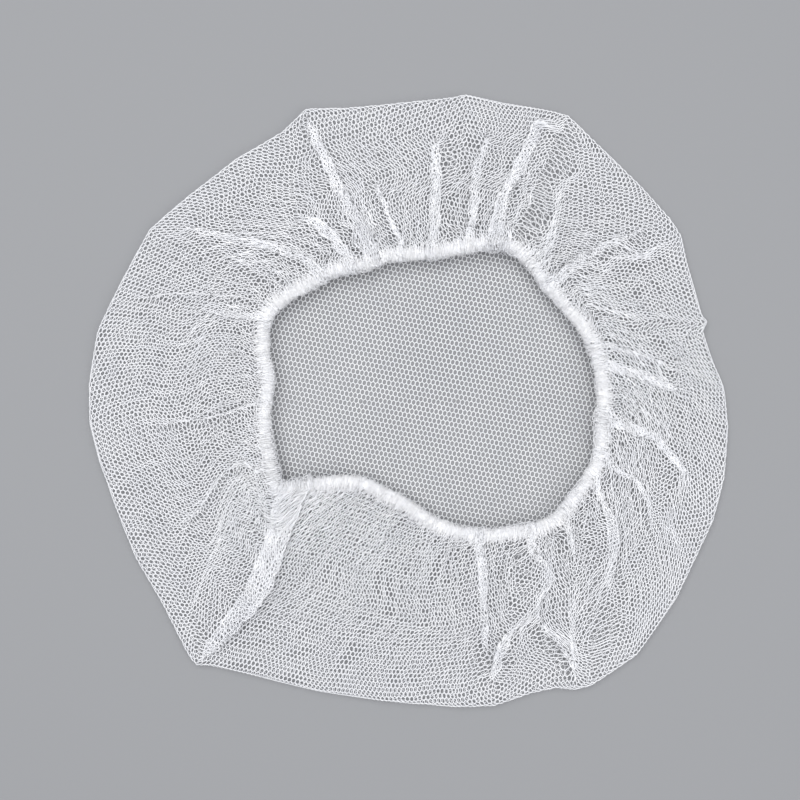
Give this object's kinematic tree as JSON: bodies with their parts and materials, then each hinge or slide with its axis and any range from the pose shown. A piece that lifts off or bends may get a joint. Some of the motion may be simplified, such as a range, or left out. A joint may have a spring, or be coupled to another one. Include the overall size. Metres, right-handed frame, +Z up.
{
  "type": "disposable hairnet",
  "caption": "Round pouch of fine hexagonal netting gathered onto an elastic band, lying flat on its crown with the mouth up.",
  "frame": {"origin": "middle of the lying net's outline, on the surface it rests on", "axes": "+Z up through the mouth, +X to the right and +Y to the far side of the lying net"},
  "size_m": [0.3204, 0.3068, 0.0189],
  "materials": {
    "netting": "white nylon net, softly glossy threads",
    "elastic": "white covered elastic with overlocked, gathered net edge"
  },
  "bodies": {
    "root": {"net": "netting", "elastic_band": "elastic"}
  },
  "joints": []
}
